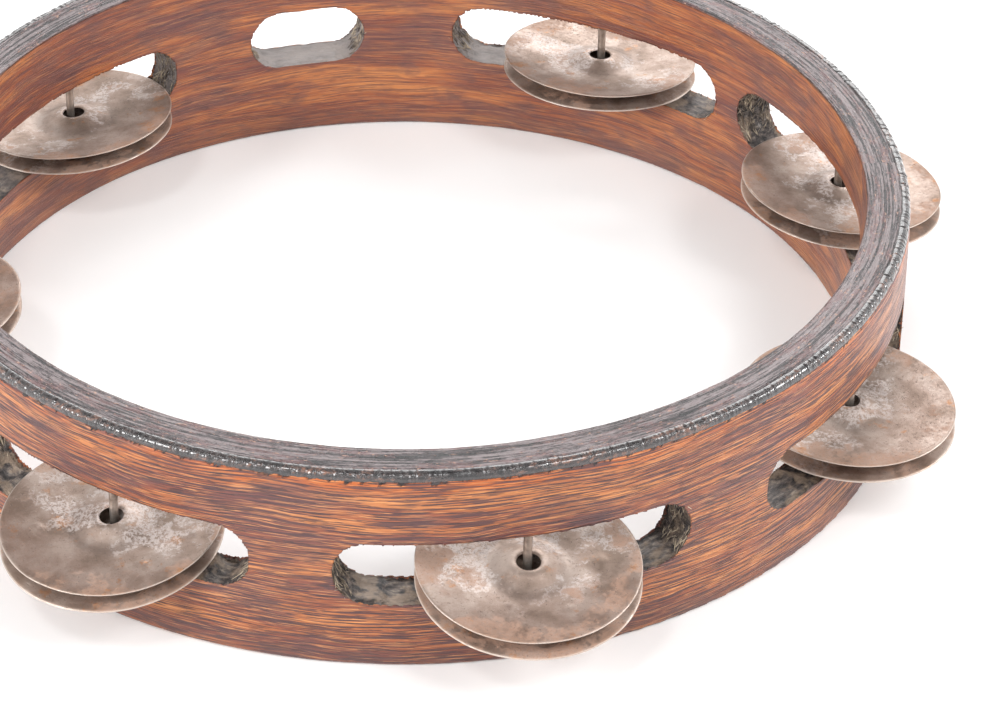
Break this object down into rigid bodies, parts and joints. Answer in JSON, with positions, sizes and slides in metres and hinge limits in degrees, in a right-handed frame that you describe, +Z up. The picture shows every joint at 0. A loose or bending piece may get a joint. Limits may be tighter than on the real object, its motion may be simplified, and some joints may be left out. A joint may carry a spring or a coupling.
{
  "type": "tambourine",
  "caption": "Headless wooden tambourine: a round bent hoop with a thumb hole and slots, in which loose pairs of steel plates slide and clash on upright pins.",
  "frame": {"origin": "the centre of the hoop's flat underside, on the hoop's axis", "axes": "+Z up along the hoop's axis, +Y out through the middle of the thumb hole, +X to the right seen from above"},
  "size_m": [0.2963, 0.2758, 0.055],
  "materials": {
    "hoop_wood": "stained bent hardwood with a long open grain, black varnish on its worn top rim",
    "jingle_steel": "thin stamped steel sheet, aged grey with rust patches and pitting",
    "pin_steel": "dull drawn wire nail"
  },
  "bodies": {
    "hoop": {"hoop": "hoop_wood", "pin_1": "pin_steel", "pin_2": "pin_steel", "pin_3": "pin_steel", "pin_4": "pin_steel", "pin_5": "pin_steel", "pin_6": "pin_steel", "pin_7": "pin_steel"},
    "jingle_1_lower": {"jingle_1_lower": "jingle_steel"},
    "jingle_1_upper": {"jingle_1_upper": "jingle_steel"},
    "jingle_2_lower": {"jingle_2_lower": "jingle_steel"},
    "jingle_2_upper": {"jingle_2_upper": "jingle_steel"},
    "jingle_3_lower": {"jingle_3_lower": "jingle_steel"},
    "jingle_3_upper": {"jingle_3_upper": "jingle_steel"},
    "jingle_4_lower": {"jingle_4_lower": "jingle_steel"},
    "jingle_4_upper": {"jingle_4_upper": "jingle_steel"},
    "jingle_5_lower": {"jingle_5_lower": "jingle_steel"},
    "jingle_5_upper": {"jingle_5_upper": "jingle_steel"},
    "jingle_6_lower": {"jingle_6_lower": "jingle_steel"},
    "jingle_6_upper": {"jingle_6_upper": "jingle_steel"},
    "jingle_7_lower": {"jingle_7_lower": "jingle_steel"},
    "jingle_7_upper": {"jingle_7_upper": "jingle_steel"}
  },
  "joints": [
    {"name": "jingle_1_lower_slide", "type": "slide", "parent": "hoop", "child": "jingle_1_lower", "axis": [0, 0, 1], "range_m": [0, 0.0043]},
    {"name": "jingle_1_upper_slide", "type": "slide", "parent": "jingle_1_lower", "child": "jingle_1_upper", "axis": [0, 0, 1], "range_m": [0, 0.0043]},
    {"name": "jingle_2_lower_slide", "type": "slide", "parent": "hoop", "child": "jingle_2_lower", "axis": [0, 0, 1], "range_m": [0, 0.0043]},
    {"name": "jingle_2_upper_slide", "type": "slide", "parent": "jingle_2_lower", "child": "jingle_2_upper", "axis": [0, 0, 1], "range_m": [0, 0.0043]},
    {"name": "jingle_3_lower_slide", "type": "slide", "parent": "hoop", "child": "jingle_3_lower", "axis": [0, 0, 1], "range_m": [0, 0.0043]},
    {"name": "jingle_3_upper_slide", "type": "slide", "parent": "jingle_3_lower", "child": "jingle_3_upper", "axis": [0, 0, 1], "range_m": [0, 0.0043]},
    {"name": "jingle_4_lower_slide", "type": "slide", "parent": "hoop", "child": "jingle_4_lower", "axis": [0, 0, 1], "range_m": [0, 0.0043]},
    {"name": "jingle_4_upper_slide", "type": "slide", "parent": "jingle_4_lower", "child": "jingle_4_upper", "axis": [0, 0, 1], "range_m": [0, 0.0043]},
    {"name": "jingle_5_lower_slide", "type": "slide", "parent": "hoop", "child": "jingle_5_lower", "axis": [0, 0, 1], "range_m": [0, 0.0043]},
    {"name": "jingle_5_upper_slide", "type": "slide", "parent": "jingle_5_lower", "child": "jingle_5_upper", "axis": [0, 0, 1], "range_m": [0, 0.0043]},
    {"name": "jingle_6_lower_slide", "type": "slide", "parent": "hoop", "child": "jingle_6_lower", "axis": [0, 0, 1], "range_m": [0, 0.0043]},
    {"name": "jingle_6_upper_slide", "type": "slide", "parent": "jingle_6_lower", "child": "jingle_6_upper", "axis": [0, 0, 1], "range_m": [0, 0.0043]},
    {"name": "jingle_7_lower_slide", "type": "slide", "parent": "hoop", "child": "jingle_7_lower", "axis": [0, 0, 1], "range_m": [0, 0.0043]},
    {"name": "jingle_7_upper_slide", "type": "slide", "parent": "jingle_7_lower", "child": "jingle_7_upper", "axis": [0, 0, 1], "range_m": [0, 0.0043]}
  ]
}
